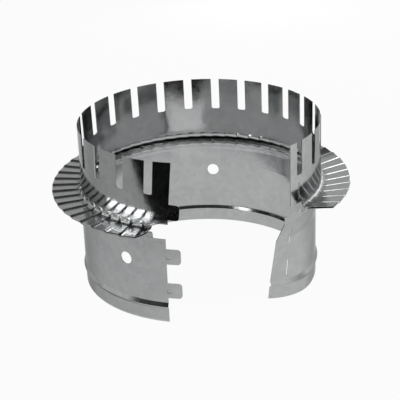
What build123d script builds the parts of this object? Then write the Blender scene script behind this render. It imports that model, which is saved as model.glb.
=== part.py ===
from build123d import *
from math import cos, degrees, pi, radians, sin, tan
import os

# Duct collar made from one strip of galvanised sheet, rolled to an open C.
# The collar's axis is Z. The origin is on that axis, level with the crests at the flange's rim.
# Angles are in degrees about Z: 0 is +X and 270 is the side with the gap. Lengths are in mm.

# Strip
sheet = 0.5
crimp_thinning = 0.18
nominal_diameter = 152.4
seam_lap = 10.0
left_end = 257.0
left_end_lean = 5.2
right_end = -46.2

# Upper band, with its edge cut into fingers
band_height = 48.9
finger_cut_length = 25.6
finger_cut_width = 6.6
finger_cut_corner = 1.6
finger_pitch = 23.1
first_finger_cut = -43.4
finger_cuts = 21
finger_drift = 4.7
finger_drift_start = 12.0

# Crimped flange
flange_width = 22.7
flange_dish = 2.2
mouth_gap = 1.0
upper_bend = 3.0
lower_bend = 3.4
rim_fold_height = 1.7
bend_facets = 3
joint_lap = 0.3
pleat_pitch = 10.32
pleat_drop_root = 0.6
pleat_drop_rim = 0.77
pleat_step = 0.24
pleat_lean = 3.0
flange_left_root = 247.0
flange_left_rim = 244.8
flange_right_root = -38.0
flange_right_rim = -33.6

# Skirt below the flange
skirt_depth = 77.0
skirt_left_end = 253.0
skirt_right_end = -49.8
skirt_offset_x = -2.6
skirt_offset_y = -1.2
skirt_narrowing = 1.5
skirt_lean_depth = 14.8
bead_reach = 1.3
bead_slope = 3.2
bead_return = 2.2
lip_height = 10.4
curl_start = -24.0
curl_radius_top = 90.0
curl_radius_bottom = 35.0

# Cut-away ends, lock tabs and the slots that they go into
upper_tongue_edge = 1.4
lower_tongue_edge = -10.3
right_flap_edge = -4.6
right_flap_corner = 3.0
tab_height = 12.0
upper_tab_reach = 8.0
skirt_tab_reach = 10.6
tab_corner = 2.6
dimple_radius = 2.2
dimple_depth = 0.3
dimple_offset = 1.4
lock_slot_height = 14.0
lock_slot_width = 0.9
lock_slot_inset = 9.8
upper_lock = 10.9
middle_lock = -24.0
lower_lock = -51.3

# Round holes for a damper shaft, opposite each other once the collar is closed
shaft_hole_diameter = 9.5
shaft_hole_level = -30.4
back_hole_angle = 83.2
front_hole_angle = 232.6

# Sizes that follow from the values above
crimped_sheet = sheet - crimp_thinning
open_radius = (pi * nominal_diameter + seam_lap) / radians(left_end - right_end)
inner_radius = open_radius - sheet
mid_radius = open_radius - sheet / 2
rim_radius = open_radius + flange_width
pleat_angle = degrees(pleat_pitch / open_radius)
finger_pitch_angle = degrees(finger_pitch / open_radius)
spare_angle = degrees(2 * max(upper_tab_reach, skirt_tab_reach) / open_radius)
upper_root = -flange_dish
lower_root = upper_root - sheet - mouth_gap
band_joint = upper_root + upper_bend + 2 * sheet
skirt_joint = lower_tongue_edge
bead_foot = lip_height - skirt_depth
bead_peak = bead_foot + bead_return
bead_top = bead_peak + bead_slope


def at_angle(angle, radius, level=0):
    """A point on the collar at an angle, a radius and a level."""
    return Vector(radius * cos(radians(angle)), radius * sin(radians(angle)), level)


def radial_plane(angle):
    """A work plane through the axis, with X outward and Y up."""
    return Plane(origin=(0, 0, 0), x_dir=at_angle(angle, 1), z_dir=at_angle(angle - 90, 1))


def facing_out(angle, level):
    """A work plane square to the wall, with X along the strip and Y up."""
    return Plane(
        origin=at_angle(angle, open_radius, level),
        x_dir=at_angle(angle + 90, 1),
        z_dir=at_angle(angle, 1),
    )


def through_wall(angle, level, shape):
    """A shape drawn on the wall and run through the sheet from both sides."""
    place = facing_out(angle, level)
    return extrude(place * shape, 8) + extrude(place * shape, -20)


def ring(bottom, top, start, end):
    """A length of the plain round wall between two levels and two angles."""
    section = Pos(mid_radius, (bottom + top) / 2) * Rectangle(sheet, top - bottom)
    return revolve(radial_plane(start) * section, Axis.Z, end - start)


def end_waste(bottom, top, reach, locks):
    """The waste past the strip's left end, with the lock tabs left standing."""
    waste = Pos(2 * reach, (bottom + top) / 2) * Rectangle(4 * reach, 1.2 * (top - bottom))
    tab = Rectangle(2 * reach, tab_height)
    for level in locks:
        waste -= Pos(0, level) * fillet(tab.vertices(), tab_corner)
    return waste


def dimpled(wall, end, level):
    """The wall with a round dimple half pressed through it at a tab's root."""
    angle = end + degrees(dimple_offset / open_radius)
    punch = through_wall(angle, level, Circle(dimple_radius))
    inward = at_angle(angle, -dimple_depth)
    return (wall - punch) + Pos(inward) * (wall & punch)


def finger_cutters():
    """The cuts between the fingers: they drift and lean as the strip was rolled off square."""
    shape = RectangleRounded(finger_cut_width, 2 * finger_cut_length, finger_cut_corner)
    cutters = []
    for number in range(finger_cuts):
        along = first_finger_cut + number * finger_pitch_angle
        angle = along - finger_drift * sin(radians(along - finger_drift_start))
        lean = left_end_lean * (number / finger_cuts) ** 3
        cutters.append(through_wall(angle, band_height, Rot(0, 0, -lean) * shape))
    return cutters


def upper_band():
    """The wall above the flange: fingers, left tongue with its lock tab, right end with its slot."""
    far_end = left_end + spare_angle
    left_tongue = ring(upper_tongue_edge, band_joint, flange_left_root, far_end)
    right_tongue = ring(upper_tongue_edge, band_joint, right_end, flange_right_root)
    wall = ring(band_joint, band_height, right_end, far_end)
    band = wall + left_tongue + right_tongue
    band -= finger_cutters()
    waste = Pos(0, -band_height) * end_waste(upper_tongue_edge, band_height, upper_tab_reach, [upper_lock])
    band -= through_wall(left_end, band_height, Rot(0, 0, -left_end_lean) * waste)
    leaning = (band_height - upper_lock) * tan(radians(left_end_lean))
    band = dimpled(band, left_end - degrees(leaning / open_radius), upper_lock)
    slot_angle = right_end + degrees(lock_slot_inset / open_radius)
    return band - through_wall(slot_angle, upper_lock, SlotOverall(lock_slot_height, lock_slot_width, rotation=90))


def leaning_plane(angle):
    """A work plane through the wall and the leaning pleat line, with Y up from the origin's level."""
    root = at_angle(angle, mid_radius)
    rim = at_angle(angle + pleat_lean, rim_radius)
    along = (rim - root).normalized()
    return Plane(origin=root, x_dir=along, z_dir=along.cross(Vector(0, 0, 1)))


def bend(x, y, radius, first, last):
    """Points round a bend of the sheet, from one direction of its radius to another."""
    step = (last - first) / bend_facets
    turns = [radians(first + number * step) for number in range(bend_facets + 1)]
    return [(x + radius * cos(turn), y + radius * sin(turn)) for turn in turns]


def halfway(first, second):
    """The point halfway along a flat of the sheet, where its face is parted in two."""
    return ((first[0] + second[0]) / 2, (first[1] + second[1]) / 2)


def fold_section(angle, drop):
    """The crimped sheet's section from wall to wall: drop is 0 on a crest, 1 in a valley.

    Crimping thins the sheet, and its two legs run on inside the thicker walls that they join.
    """
    upper_radius = upper_bend + sheet / 2
    lower_radius = lower_bend + sheet / 2
    rim_fold = (rim_fold_height - sheet) / 2
    root_level = -drop * pleat_drop_root - sheet / 2
    rim_level = -drop * pleat_drop_rim - sheet / 2
    reach = (at_angle(pleat_lean, rim_radius) - at_angle(0, mid_radius)).length - sheet / 2
    upper = bend(upper_radius, upper_root + root_level + upper_radius, upper_radius, 180, 270)
    rim = bend(reach - rim_fold, rim_level - rim_fold, rim_fold, 90, -90)
    lower = bend(lower_radius, lower_root + root_level - lower_radius, lower_radius, 90, 180)
    path = [(0, band_joint + joint_lap)] + upper + [halfway(upper[-1], rim[0])] + rim
    path += [halfway(rim[-1], lower[0])] + lower + [(0, skirt_joint - joint_lap)]
    outline = Polyline(path).wire().offset_2d(crimped_sheet / 2, kind=Kind.INTERSECTION, side=Side.BOTH)
    return leaning_plane(angle) * make_face(outline)


def flange_end(root, rim, side):
    """The waste past one end of the flange, from its root angle to its rim angle."""
    start = at_angle(root, mid_radius)
    along = (at_angle(rim, rim_radius) - start).normalized()
    place = Plane(origin=start, x_dir=along, z_dir=(0, 0, 1))
    return place * Pos(flange_width / 2, side * flange_width, 0) * Box(3 * flange_width, 2 * flange_width, 40)


def flange():
    """The double flange, one ruled solid through the crest and valley of every pleat."""
    sections = []
    angle = flange_right_root - pleat_angle
    while angle < flange_left_root + pleat_angle:
        sections.append(fold_section(angle, 1))
        angle = angle + pleat_angle
        sections.append(fold_section(angle - pleat_step * pleat_angle, 0))
    pleats = loft(sections, ruled=True)
    pleats -= flange_end(flange_left_root, flange_left_rim, 1)
    return pleats - flange_end(flange_right_root, flange_right_rim, -1)


def skirt_section(level, swell):
    """The open C of the skirt at one level: bent in under the flange, and curling in to its foot."""
    share = (skirt_joint - level) / (skirt_joint + skirt_depth)
    lean = min(1, (skirt_joint - level) / skirt_lean_depth)
    centre = Vector(skirt_offset_x * lean, skirt_offset_y * lean, 0)
    radius = open_radius - skirt_narrowing * lean + swell
    curl = 1 / (share / curl_radius_bottom + (1 - share) / curl_radius_top)
    curl_angle = degrees(radians(curl_start - skirt_right_end) * open_radius / curl)
    curl_centre = centre + at_angle(curl_start, radius - curl)
    end = skirt_left_end + spare_angle
    outer = CenterArc(centre, radius, curl_start, end - curl_start)
    outer += CenterArc(curl_centre, curl, curl_start, -curl_angle)
    inner = CenterArc(centre, radius - sheet, curl_start, end - curl_start)
    inner += CenterArc(curl_centre, curl - sheet, curl_start, -curl_angle)
    left = Line(centre + at_angle(end, radius), centre + at_angle(end, radius - sheet))
    tip = curl_start - curl_angle
    right = Line(curl_centre + at_angle(tip, curl), curl_centre + at_angle(tip, curl - sheet))
    return Pos(0, 0, level) * make_face(outer + inner + left + right)


def right_flap():
    """The skirt's right end past the flange, which stands higher and has a rounded corner."""
    raised = extrude(skirt_section(skirt_joint, 0), right_flap_edge - skirt_joint)
    raised &= flange_end(flange_right_root, flange_right_rim, -1)
    corner = Rectangle(2 * right_flap_corner, 2 * right_flap_corner)
    corner -= Pos(right_flap_corner, -right_flap_corner) * Circle(right_flap_corner)
    return raised - through_wall(skirt_right_end, right_flap_edge, corner)


def skirt():
    """The wall below the flange: rolled bead and lip, tabs and slots at the ends, shaft holes."""
    sections = [
        skirt_section(skirt_joint, 0),
        skirt_section(skirt_joint - skirt_lean_depth, 0),
        skirt_section(bead_top, 0),
        skirt_section(bead_peak, bead_reach),
        skirt_section(bead_foot, 0),
        skirt_section(-skirt_depth, 0),
    ]
    wall = loft(sections, ruled=True)
    waste = end_waste(-skirt_depth, skirt_joint, skirt_tab_reach, [middle_lock, lower_lock])
    wall -= through_wall(skirt_left_end, 0, waste)
    wall = dimpled(dimpled(wall, skirt_left_end, middle_lock), skirt_left_end, lower_lock)
    slot_angle = skirt_right_end + degrees(lock_slot_inset / open_radius)
    slot = SlotOverall(lock_slot_height, lock_slot_width, rotation=90)
    wall -= through_wall(slot_angle, middle_lock, slot)
    wall -= through_wall(slot_angle, lower_lock, slot)
    hole = Circle(shaft_hole_diameter / 2)
    wall -= through_wall(back_hole_angle, shaft_hole_level, hole)
    wall -= through_wall(front_hole_angle, shaft_hole_level, hole)
    return wall + right_flap()


os.makedirs("parts", exist_ok=True)

collar = upper_band() + flange() + skirt()
export_step(collar, "parts/collar_sheet.step")
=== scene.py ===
from math import cos, radians, sin

import bpy
from mathutils import Matrix, Vector


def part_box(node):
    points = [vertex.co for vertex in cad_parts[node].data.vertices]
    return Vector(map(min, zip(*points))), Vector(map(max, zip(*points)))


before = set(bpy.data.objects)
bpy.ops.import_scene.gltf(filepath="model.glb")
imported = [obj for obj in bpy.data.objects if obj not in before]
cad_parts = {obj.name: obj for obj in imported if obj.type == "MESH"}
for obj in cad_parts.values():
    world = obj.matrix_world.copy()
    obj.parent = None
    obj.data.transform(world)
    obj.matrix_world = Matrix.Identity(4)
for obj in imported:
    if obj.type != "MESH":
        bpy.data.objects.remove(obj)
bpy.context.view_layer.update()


# The collar: one strip of hot-dip galvanised steel sheet, 0.5 mm thick. It was cut and pierced
# flat, its flange was crimped and its bead rolled, and it was then rolled up to an open C.
sheet_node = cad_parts["collar_sheet"]
gap_middle = 287.0
wall_radius = 0.0924
rim_radius = 0.1151

# The coat's patterns. Its rolling lines and grit are finer in reality, and are drawn to show.
spangle_width = 0.0045
rolling_grain = 0.0005
rolling_length = 0.030
rolling_depth = 0.000004
handling_width = 0.022
handling_depth = 0.00010
grit_width = 0.0009
coat_greys = ("#B0B2B3", "#C6C7C7")
coat_roughness = (0.09, 0.15)

# The pleats' creases. A depth below zero presses a crease flatter than the sheet has it. A turn is
# in degrees from the middle of the collar's back, and is below zero on the right.
pleat_pitch = 0.01032
pleat_step = 0.24
pleat_lean = 3.0
first_valley = -38.0
crimped_levels = (-0.0088, -0.0076, 0.0010, 0.0022)
flat_crease_depth = -0.00018
sharp_crease_depth = 0.00050
sharp_crease_turn = (-75, -45)

# The crinkles that crimping leaves by the flange's root and its two ends
crinkle_width = 0.0022
crinkle_depth = 0.00030
crinkled_levels = (-0.0130, -0.0080, -0.0005, 0.0070)
crinkled_root = (0.0030, 0.0065)
crinkled_root_share = 1.1
crinkled_end_turn = (105, 130)
crinkled_end_shares = (0.20, 0.32)

# The lean of the wall under the flange, as it is in the sheet
lean_levels = (-0.0251, -0.0103)
lean_shift = (-0.0026, -0.0012)
lean_narrowing = 0.0015
soft_lean_turn = (-90, -60)


def linear(colour):
    """An sRGB hex colour as linear red, green, blue and alpha."""
    shares = [int(colour[place:place + 2], 16) / 255 for place in (1, 3, 5)]
    return [(s / 12.92 if s <= 0.04045 else ((s + 0.055) / 1.055) ** 2.4) for s in shares] + [1.0]


def empty_tree(owner):
    """The node tree of a material or a world, with nothing in it."""
    owner.use_nodes = True
    owner.node_tree.nodes.clear()
    return owner.node_tree


def add_node(tree, kind, values=(), links=(), **settings):
    """Adds one node, sets its properties and its inputs' values, and links its inputs."""
    node = tree.nodes.new(kind)
    for name, value in settings.items():
        setattr(node, name, value)
    for name, value in dict(values).items():
        node.inputs[name].default_value = value
    for name, output in dict(links).items():
        tree.links.new(output, node.inputs[name])
    return node


def galvanised_sheet():
    """Zinc-coated steel: a clear but soft mirror, with faint crystals and handling marks."""
    material = bpy.data.materials.new("galvanised_sheet")
    tree = empty_tree(material)
    place = add_node(tree, "ShaderNodeTexCoord")

    # Crystals of the zinc coat, 4 to 5 mm wide and hardly lighter or darker than each other
    crystals = add_node(
        tree, "ShaderNodeTexVoronoi", {"Scale": 1 / spangle_width},
        {"Vector": place.outputs["Object"]},
    )
    crystal_grey = add_node(tree, "ShaderNodeRGBToBW", links={"Color": crystals.outputs["Color"]})

    # Rolling lines along the strip, which runs round the collar
    along = add_node(
        tree, "ShaderNodeMapping",
        {"Scale": (1 / rolling_length, 1 / rolling_length, 1 / rolling_grain)},
        {"Vector": place.outputs["Object"]},
    )
    lines = add_node(
        tree, "ShaderNodeTexNoise", {"Scale": 1.0, "Detail": 2.0, "Roughness": 0.6},
        {"Vector": along.outputs["Vector"]},
    )

    # Smudges and slow waves from rolling and handling
    handling = add_node(
        tree, "ShaderNodeTexNoise", {"Scale": 1 / handling_width, "Detail": 3.0, "Roughness": 0.55},
        {"Vector": place.outputs["Object"]},
    )

    # Grit of the coat, which breaks its grey up
    grit = add_node(
        tree, "ShaderNodeTexNoise", {"Scale": 1 / grit_width, "Detail": 2.0, "Roughness": 0.7},
        {"Vector": place.outputs["Object"]},
    )

    # Where a place is: its radius, its turn from the back's middle, and its share out to the rim
    turned = add_node(
        tree, "ShaderNodeMapping", {"Rotation": (0.0, 0.0, radians(180 - gap_middle))},
        {"Vector": place.outputs["Object"]},
    )
    axes = add_node(tree, "ShaderNodeSeparateXYZ", links={"Vector": turned.outputs["Vector"]})
    flat = add_node(
        tree, "ShaderNodeCombineXYZ", links={"X": axes.outputs["X"], "Y": axes.outputs["Y"]}
    )
    radius = add_node(
        tree, "ShaderNodeVectorMath", links={0: flat.outputs["Vector"]}, operation="LENGTH"
    )
    angle = add_node(
        tree, "ShaderNodeMath", links={0: axes.outputs["Y"], 1: axes.outputs["X"]},
        operation="ARCTAN2",
    )
    outward = add_node(
        tree, "ShaderNodeMapRange",
        {"From Min": wall_radius, "From Max": rim_radius, "To Min": 0.0, "To Max": 1.0},
        {"Value": radius.outputs["Value"]},
    )

    # The levels of the crimped flange, and the wider band of levels round it that crinkles
    bands = []
    for levels, easing in ((crimped_levels, "LINEAR"), (crinkled_levels, "SMOOTHSTEP")):
        over_foot = add_node(
            tree, "ShaderNodeMapRange",
            {"From Min": levels[0], "From Max": levels[1], "To Min": 0.0, "To Max": 1.0},
            {"Value": axes.outputs["Z"]}, interpolation_type=easing,
        )
        under_top = add_node(
            tree, "ShaderNodeMapRange",
            {"From Min": levels[2], "From Max": levels[3], "To Min": 1.0, "To Max": 0.0},
            {"Value": axes.outputs["Z"]}, interpolation_type=easing,
        )
        bands.append(add_node(
            tree, "ShaderNodeMath",
            links={0: over_foot.outputs["Result"], 1: under_top.outputs["Result"]},
            operation="MULTIPLY",
        ))
    crimped, crinkled = bands

    # The pleats' own creases. Each pleat falls in a short step: round the left and the back it is
    # pressed to a sharp crease in the middle of that step, and on the right it is pressed flatter.
    pleat_turn = pleat_pitch / wall_radius
    leaning = add_node(
        tree, "ShaderNodeMath", {1: -radians(pleat_lean)},
        {0: outward.outputs["Result"], 2: angle.outputs["Value"]}, operation="MULTIPLY_ADD",
    )
    pressed = []
    for step, lead, right_depth, left_depth in (
        (pleat_step, 0.0, flat_crease_depth, 0.0),
        (pleat_step * 0.75, pleat_step / 8, 0.0, sharp_crease_depth),
    ):
        counted = add_node(
            tree, "ShaderNodeMath",
            {1: 1 / pleat_turn, 2: radians(gap_middle - 180 - first_valley) / pleat_turn + lead},
            {0: leaning.outputs["Value"]}, operation="MULTIPLY_ADD",
        )
        pleat = add_node(
            tree, "ShaderNodeMath", links={0: counted.outputs["Value"]}, operation="FRACT"
        )
        rising = add_node(
            tree, "ShaderNodeMath", {1: 1 / (1 - step)}, {0: pleat.outputs["Value"]},
            operation="MULTIPLY",
        )
        falling = add_node(
            tree, "ShaderNodeMath", {1: -1 / step, 2: 1 / step}, {0: pleat.outputs["Value"]},
            operation="MULTIPLY_ADD",
        )
        creases = add_node(
            tree, "ShaderNodeMath",
            links={0: rising.outputs["Value"], 1: falling.outputs["Value"]}, operation="MINIMUM",
        )
        depth = add_node(
            tree, "ShaderNodeMapRange",
            {
                "From Min": radians(sharp_crease_turn[0]),
                "From Max": radians(sharp_crease_turn[1]),
                "To Min": right_depth, "To Max": left_depth,
            },
            {"Value": angle.outputs["Value"]},
        )
        pressed.append(add_node(
            tree, "ShaderNodeMath",
            links={0: creases.outputs["Value"], 1: depth.outputs["Result"]}, operation="MULTIPLY",
        ))
    crease_height = add_node(
        tree, "ShaderNodeMath",
        links={0: pressed[0].outputs["Value"], 1: pressed[1].outputs["Value"]}, operation="ADD",
    )
    crease_height = add_node(
        tree, "ShaderNodeMath",
        links={0: crease_height.outputs["Value"], 1: crimped.outputs["Value"]},
        operation="MULTIPLY",
    )

    # Crinkles of the crimping, deepest at the root and deeper by the flange's two ends
    crinkles = add_node(
        tree, "ShaderNodeTexNoise", {"Scale": 1 / crinkle_width, "Detail": 4.0, "Roughness": 0.75},
        {"Vector": place.outputs["Object"]},
    )
    either_way = add_node(
        tree, "ShaderNodeMath", links={0: angle.outputs["Value"]}, operation="ABSOLUTE"
    )
    near_end = add_node(
        tree, "ShaderNodeMapRange",
        {
            "From Min": radians(crinkled_end_turn[0]), "From Max": radians(crinkled_end_turn[1]),
            "To Min": crinkled_end_shares[0], "To Max": crinkled_end_shares[1],
        },
        {"Value": either_way.outputs["Value"]}, interpolation_type="SMOOTHSTEP",
    )
    by_root = add_node(
        tree, "ShaderNodeMapRange",
        {
            "From Min": wall_radius + crinkled_root[0], "From Max": wall_radius + crinkled_root[1],
            "To Min": crinkled_root_share, "To Max": 0.0,
        },
        {"Value": radius.outputs["Value"]},
    )
    crinkle_share = add_node(
        tree, "ShaderNodeMath",
        links={0: near_end.outputs["Result"], 1: by_root.outputs["Result"]}, operation="MAXIMUM",
    )
    crinkle_height = add_node(
        tree, "ShaderNodeMath",
        links={0: crinkle_share.outputs["Value"], 1: crinkled.outputs["Value"]},
        operation="MULTIPLY",
    )
    crinkle_height = add_node(
        tree, "ShaderNodeMath",
        links={0: crinkles.outputs["Fac"], 1: crinkle_height.outputs["Value"]},
        operation="MULTIPLY",
    )

    # Under the flange the wall is bent in by a few millimetres. The bend is rolled so softly that
    # the wall's reflections run on through it, so the shading takes most of it out again.
    side = add_node(tree, "ShaderNodeNewGeometry")
    way_out = add_node(
        tree, "ShaderNodeVectorMath",
        links={0: place.outputs["Object"], 1: side.outputs["True Normal"]},
        operation="DOT_PRODUCT",
    )
    facing = add_node(tree, "ShaderNodeMath", links={0: way_out.outputs["Value"]}, operation="SIGN")
    shifted_in = add_node(
        tree, "ShaderNodeVectorMath",
        {1: (-lean_shift[0] / wall_radius, -lean_shift[1] / wall_radius, 0.0)},
        {0: place.outputs["Object"]}, operation="DOT_PRODUCT",
    )
    softened = add_node(
        tree, "ShaderNodeMath", {1: lean_narrowing}, {0: shifted_in.outputs["Value"]},
        operation="ADD",
    )
    leaned = add_node(
        tree, "ShaderNodeMapRange",
        {"From Min": lean_levels[0], "From Max": lean_levels[1], "To Min": 0.0, "To Max": 1.0},
        {"Value": axes.outputs["Z"]},
    )
    taken_out = add_node(
        tree, "ShaderNodeMapRange",
        {
            "From Min": radians(soft_lean_turn[0]), "From Max": radians(soft_lean_turn[1]),
            "To Min": 0.0, "To Max": -1.0,
        },
        {"Value": angle.outputs["Value"]}, interpolation_type="SMOOTHSTEP",
    )
    for share in (leaned.outputs["Result"], taken_out.outputs["Result"], facing.outputs["Value"]):
        softened = add_node(
            tree, "ShaderNodeMath", links={0: softened.outputs["Value"], 1: share},
            operation="MULTIPLY",
        )

    # The coat's grey and gloss: a quarter from crystals, a third from smudges, the rest from grit
    tone = add_node(
        tree, "ShaderNodeMath", {1: 0.25}, {0: crystal_grey.outputs["Val"]}, operation="MULTIPLY"
    )
    for marks, share in ((handling, 0.35), (grit, 0.40)):
        tone = add_node(
            tree, "ShaderNodeMath", {1: share},
            {0: marks.outputs["Fac"], 2: tone.outputs["Value"]}, operation="MULTIPLY_ADD",
        )
    colour = add_node(tree, "ShaderNodeValToRGB", links={"Fac": tone.outputs["Value"]})
    for stop, position, grey in zip(colour.color_ramp.elements, (0.25, 0.75), coat_greys):
        stop.position = position
        stop.color = linear(grey)
    roughness = add_node(
        tree, "ShaderNodeMapRange",
        {
            "From Min": 0.3, "From Max": 0.7,
            "To Min": coat_roughness[0], "To Max": coat_roughness[1],
        },
        {"Value": tone.outputs["Value"]},
    )

    # The relief, one on another. The creases and the softened lean are in metres already.
    surface = {}
    for height, depth in (
        (handling.outputs["Fac"], handling_depth),
        (lines.outputs["Fac"], rolling_depth),
        (crinkle_height.outputs["Value"], crinkle_depth),
        (crease_height.outputs["Value"], 1.0),
        (softened.outputs["Value"], 1.0),
    ):
        relief = add_node(
            tree, "ShaderNodeBump", {"Strength": 1.0, "Distance": depth},
            {"Height": height, **surface},
        )
        surface = {"Normal": relief.outputs["Normal"]}

    zinc = add_node(
        tree, "ShaderNodeBsdfPrincipled",
        {"Metallic": 1.0, "Specular Tint": (0.55, 0.55, 0.55, 1.0)},
        {
            "Base Color": colour.outputs["Color"], "Roughness": roughness.outputs["Result"],
            **surface,
        },
    )
    add_node(tree, "ShaderNodeOutputMaterial", links={"Surface": zinc.outputs["BSDF"]})
    return material


zinc_coat = galvanised_sheet()
for slot in sheet_node.material_slots:
    slot.material = zinc_coat


# The table: a plain pale top that the collar stands on, wide enough to fill every view.
# The camera and the metal both see it as nearly white, and it keeps a soft shadow.
table_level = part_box("collar_sheet")[0][2]
table_reach = 6.0
table_glow_seen = 0.95
table_glow_mirrored = 0.72


def flat_piece(name, corners, faces, level):
    """A flat piece at one level, facing up."""
    mesh = bpy.data.meshes.new(name)
    mesh.from_pydata([(x, y, level) for x, y in corners], [], faces)
    piece = bpy.data.objects.new(name, mesh)
    bpy.context.scene.collection.objects.link(piece)
    return piece


def rectangle(low, high):
    """The four corners of a rectangle, in order."""
    return [(low[0], low[1]), (high[0], low[1]), (high[0], high[1]), (low[0], high[1])]


def white_table_top():
    """Matt white laminate. Directly or in the metal it is mostly plain white, with some shadow."""
    material = bpy.data.materials.new("white_table_top")
    tree = empty_tree(material)
    ray = add_node(tree, "ShaderNodeLightPath")
    mirrored = add_node(
        tree, "ShaderNodeMath",
        links={0: ray.outputs["Is Glossy Ray"], 1: ray.outputs["Is Transmission Ray"]},
        operation="MAXIMUM",
    )
    mirrored = add_node(
        tree, "ShaderNodeMath", {1: table_glow_mirrored}, {0: mirrored.outputs["Value"]},
        operation="MULTIPLY",
    )
    share = add_node(
        tree, "ShaderNodeMath", {1: table_glow_seen},
        {0: ray.outputs["Is Camera Ray"], 2: mirrored.outputs["Value"]}, operation="MULTIPLY_ADD",
    )
    matt = add_node(tree, "ShaderNodeBsdfDiffuse", {"Color": linear("#F4F4F3")})
    plain = add_node(
        tree, "ShaderNodeEmission", {"Color": (1.0, 1.0, 1.0, 1.0), "Strength": 1.0}
    )
    mixed = add_node(
        tree, "ShaderNodeMixShader",
        links={
            "Fac": share.outputs["Value"], 1: matt.outputs["BSDF"], 2: plain.outputs["Emission"],
        },
    )
    add_node(tree, "ShaderNodeOutputMaterial", links={"Surface": mixed.outputs["Shader"]})
    return material


table_corners = rectangle((-table_reach, -table_reach), (table_reach, table_reach))
table = flat_piece("table", table_corners, [(0, 1, 2, 3)], table_level)
table.data.materials.append(white_table_top())


# The dark card: matt black card laid on the table in front, just below the picture's lower edge.
# Only the metal sees it: it gives the near upright faces their black reflections.
card_edge = -0.215
card_depth = 0.40
card_half_width = 0.6
card_lift = 0.0005


def black_card():
    """Matt black card, which reflects next to nothing."""
    material = bpy.data.materials.new("black_card")
    tree = empty_tree(material)
    matt = add_node(tree, "ShaderNodeBsdfDiffuse", {"Color": linear("#0C0C0C")})
    add_node(tree, "ShaderNodeOutputMaterial", links={"Surface": matt.outputs["BSDF"]})
    return material


def show_in_metal_only(piece):
    """Hides a card from the camera and from soft light, and takes its shadow away."""
    piece.visible_camera = False
    piece.visible_diffuse = False
    piece.visible_shadow = False


card_corners = rectangle((-card_half_width, card_edge - card_depth), (card_half_width, card_edge))
card = flat_piece("dark_card", card_corners, [(0, 1, 2, 3)], table_level + card_lift)
card.data.materials.append(black_card())
show_in_metal_only(card)


# The shade card: part of a ring of card that glows a painted grey, laid on the table at the front
# left. Only the metal sees it. Its painted shade darkens that side of the sheet, and fades to the
# table's own level at both sides.
shade_card_reach = (0.094, 0.80)
shade_card_span = (140, 262)
shade_card_steps = 24
shade_card_lift = 0.0004
shade_card_middle = radians(sum(shade_card_span) / 2)
shade_card_half_span = radians((shade_card_span[1] - shade_card_span[0]) / 2)
shade_card_full_share = 0.55
# Painted shade: the card's glow level by the collar and further out
painted_shade_fall = (0.185, 0.29)
painted_shade_levels = (0.62, 0.43)


def painted_shade_card():
    """A glowing card painted grey as shade: darker further out, and as pale as the table by its
    sides.
    """
    material = bpy.data.materials.new("painted_shade_card")
    tree = empty_tree(material)
    place = add_node(tree, "ShaderNodeTexCoord")
    flat = add_node(
        tree, "ShaderNodeVectorMath", {1: (1.0, 1.0, 0.0)}, {0: place.outputs["Object"]},
        operation="MULTIPLY",
    )
    distance = add_node(
        tree, "ShaderNodeVectorMath", links={0: flat.outputs["Vector"]}, operation="LENGTH"
    )
    # Painted shade, darker further from the collar
    far_out = add_node(
        tree, "ShaderNodeMapRange",
        {
            "From Min": painted_shade_fall[0], "From Max": painted_shade_fall[1],
            "To Min": painted_shade_levels[0], "To Max": painted_shade_levels[1],
        },
        {"Value": distance.outputs["Value"]},
    )
    way = add_node(
        tree, "ShaderNodeVectorMath", links={0: flat.outputs["Vector"]}, operation="NORMALIZE"
    )
    aim = add_node(
        tree, "ShaderNodeVectorMath", {1: (cos(shade_card_middle), sin(shade_card_middle), 0.0)},
        {0: way.outputs["Vector"]}, operation="DOT_PRODUCT",
    )
    inside = add_node(
        tree, "ShaderNodeMapRange",
        {
            "From Min": cos(shade_card_half_span),
            "From Max": cos(shade_card_half_span * shade_card_full_share),
            "To Min": 0.0, "To Max": 1.0,
        },
        {"Value": aim.outputs["Value"]}, interpolation_type="SMOOTHSTEP",
    )
    darker = add_node(
        tree, "ShaderNodeMath", {1: table_glow_mirrored}, {0: far_out.outputs["Result"]},
        operation="SUBTRACT",
    )
    level = add_node(
        tree, "ShaderNodeMath", {2: table_glow_mirrored},
        {0: darker.outputs["Value"], 1: inside.outputs["Result"]}, operation="MULTIPLY_ADD",
    )
    # The card glows at the painted level, though it is no lamp
    plain = add_node(
        tree, "ShaderNodeEmission", {"Color": (1.0, 1.0, 1.0, 1.0)},
        {"Strength": level.outputs["Value"]},
    )
    add_node(tree, "ShaderNodeOutputMaterial", links={"Surface": plain.outputs["Emission"]})
    return material


side_card_corners = []
for number in range(shade_card_steps + 1):
    way = radians(
        shade_card_span[0] + number * (shade_card_span[1] - shade_card_span[0]) / shade_card_steps
    )
    side_card_corners += [(reach * cos(way), reach * sin(way)) for reach in shade_card_reach]
side_card_faces = [(2 * n, 2 * n + 1, 2 * n + 3, 2 * n + 2) for n in range(shade_card_steps)]
side_card = flat_piece(
    "side_card", side_card_corners, side_card_faces, table_level + shade_card_lift
)
side_card.data.materials.append(painted_shade_card())
show_in_metal_only(side_card)


# The studio: a white backdrop behind, a pale skirting round the walls except at the right, and a
# dark room elsewhere. The camera sees plain white, and the metal sees the room as it is.
backdrop_way = (-0.42, 0.91, 0.0)
backdrop_side = (-0.07, 0.15)
backdrop_top = (0.52, 0.68)
skirting_top = (0.09, 0.15)
bare_wall_way = (0.99, -0.14, 0.0)
bare_wall_side = (0.78, 0.90)
room_levels = (0.04, 0.66)


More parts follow.
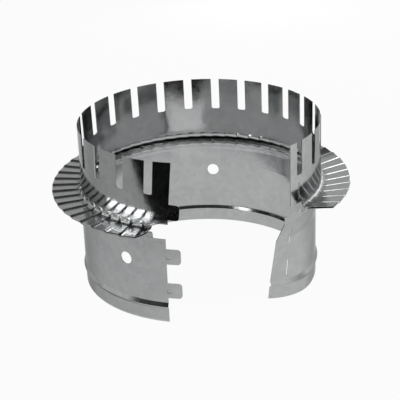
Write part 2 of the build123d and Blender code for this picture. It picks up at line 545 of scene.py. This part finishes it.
def studio_room():
    """World light by direction: bright towards the back up to about 40 degrees, dark elsewhere."""
    world = bpy.data.worlds.new("studio_room")
    tree = empty_tree(world)
    place = add_node(tree, "ShaderNodeTexCoord")
    axes = add_node(tree, "ShaderNodeSeparateXYZ", links={"Vector": place.outputs["Generated"]})
    backward = add_node(
        tree, "ShaderNodeVectorMath", {1: backdrop_way}, {0: place.outputs["Generated"]},
        operation="DOT_PRODUCT",
    )
    behind = add_node(
        tree, "ShaderNodeMapRange",
        {"From Min": backdrop_side[0], "From Max": backdrop_side[1], "To Min": 0.0, "To Max": 1.0},
        {"Value": backward.outputs["Value"]}, interpolation_type="SMOOTHSTEP",
    )
    low = add_node(
        tree, "ShaderNodeMapRange",
        {"From Min": backdrop_top[0], "From Max": backdrop_top[1], "To Min": 1.0, "To Max": 0.05},
        {"Value": axes.outputs["Z"]}, interpolation_type="SMOOTHSTEP",
    )
    backdrop = add_node(
        tree, "ShaderNodeMath", links={0: behind.outputs["Result"], 1: low.outputs["Result"]},
        operation="MULTIPLY",
    )
    by_floor = add_node(
        tree, "ShaderNodeMapRange",
        {"From Min": skirting_top[0], "From Max": skirting_top[1], "To Min": 1.0, "To Max": 0.0},
        {"Value": axes.outputs["Z"]}, interpolation_type="SMOOTHSTEP",
    )
    rightward = add_node(
        tree, "ShaderNodeVectorMath", {1: bare_wall_way}, {0: place.outputs["Generated"]},
        operation="DOT_PRODUCT",
    )
    off_right = add_node(
        tree, "ShaderNodeMapRange",
        {
            "From Min": bare_wall_side[0], "From Max": bare_wall_side[1],
            "To Min": 1.0, "To Max": 0.0,
        },
        {"Value": rightward.outputs["Value"]}, interpolation_type="SMOOTHSTEP",
    )
    skirting = add_node(
        tree, "ShaderNodeMath",
        links={0: by_floor.outputs["Result"], 1: off_right.outputs["Result"]},
        operation="MULTIPLY",
    )
    glow = add_node(
        tree, "ShaderNodeMath", links={0: backdrop.outputs["Value"], 1: skirting.outputs["Value"]},
        operation="MAXIMUM",
    )
    level = add_node(
        tree, "ShaderNodeMapRange",
        {"From Min": 0.0, "From Max": 1.0, "To Min": room_levels[0], "To Max": room_levels[1]},
        {"Value": glow.outputs["Value"]},
    )
    ray = add_node(tree, "ShaderNodeLightPath")
    strength = add_node(
        tree, "ShaderNodeMath",
        links={0: level.outputs["Result"], 1: ray.outputs["Is Camera Ray"]}, operation="MAXIMUM",
    )
    sky = add_node(
        tree, "ShaderNodeBackground", {"Color": (1.0, 1.0, 1.0, 1.0)},
        {"Strength": strength.outputs["Value"]},
    )
    add_node(tree, "ShaderNodeOutputWorld", links={"Surface": sky.outputs["Background"]})
    return world


bpy.context.scene.world = studio_room()


# The lamps: soft boxes on stands all round, most of them long and low, and weak but for the key.
# Each is aimed at the collar, and stands where one part of the sheet mirrors it to the camera.
def soft_box(name, azimuth, height, distance, size, power):
    """A rectangular lamp, aimed at the collar from an azimuth and a height in degrees."""
    lamp = bpy.data.lights.new(name, "AREA")
    lamp.shape = "RECTANGLE"
    lamp.size, lamp.size_y = size
    lamp.energy = power
    box = bpy.data.objects.new(name, lamp)
    away = Matrix.Rotation(radians(azimuth), 3, "Z") @ Matrix.Rotation(-radians(height), 3, "Y")
    box.location = away @ Vector((distance, 0.0, 0.0))
    box.rotation_euler = (-box.location).to_track_quat("-Z", "Y").to_euler()
    box.visible_camera = False
    bpy.context.scene.collection.objects.link(box)


# At the front left: the pleats' bright image in the band, the pleats, and the bead's glint inside
soft_box("key_box", 193, 21, 1.4, (1.2, 0.20), 6.8)
soft_box("low_box", 166, 7, 1.4, (0.85, 0.15), 0.18)
soft_box("bead_box", 221, 33, 1.4, (0.36, 0.18), 0.6)

# At the right and behind: a little fill, the white lines on the right pleats, and their image
soft_box("fill_box", 345, 38, 1.6, (0.4, 0.5), 3)
soft_box("back_strip", 84, 3.5, 0.85, (0.17, 0.135), 0.45)
soft_box("side_strip", 42, 9.0, 0.95, (1.1, 0.22), 1.6)


# The camera: a long lens, a little above the collar and straight in front of it. Its place, its
# turn, dip and roll in degrees, and its lens in millimetres were fitted to the picture.
camera_place = (0.0, -0.8705, 0.3645)
camera_turn = -0.098
camera_dip = 23.81
camera_roll = -2.262

lens = bpy.data.cameras.new("camera")
lens.sensor_width = 36.0
lens.lens = 109.78
lens.clip_end = 50.0
camera = bpy.data.objects.new("camera", lens)
camera.matrix_world = (
    Matrix.Translation(camera_place)
    @ Matrix.Rotation(-radians(camera_turn), 4, "Z")
    @ Matrix.Rotation(radians(90 - camera_dip), 4, "X")
    @ Matrix.Rotation(radians(camera_roll), 4, "Z")
)
bpy.context.scene.collection.objects.link(camera)
bpy.context.scene.camera = camera
bpy.context.scene.view_settings.view_transform = "Standard"
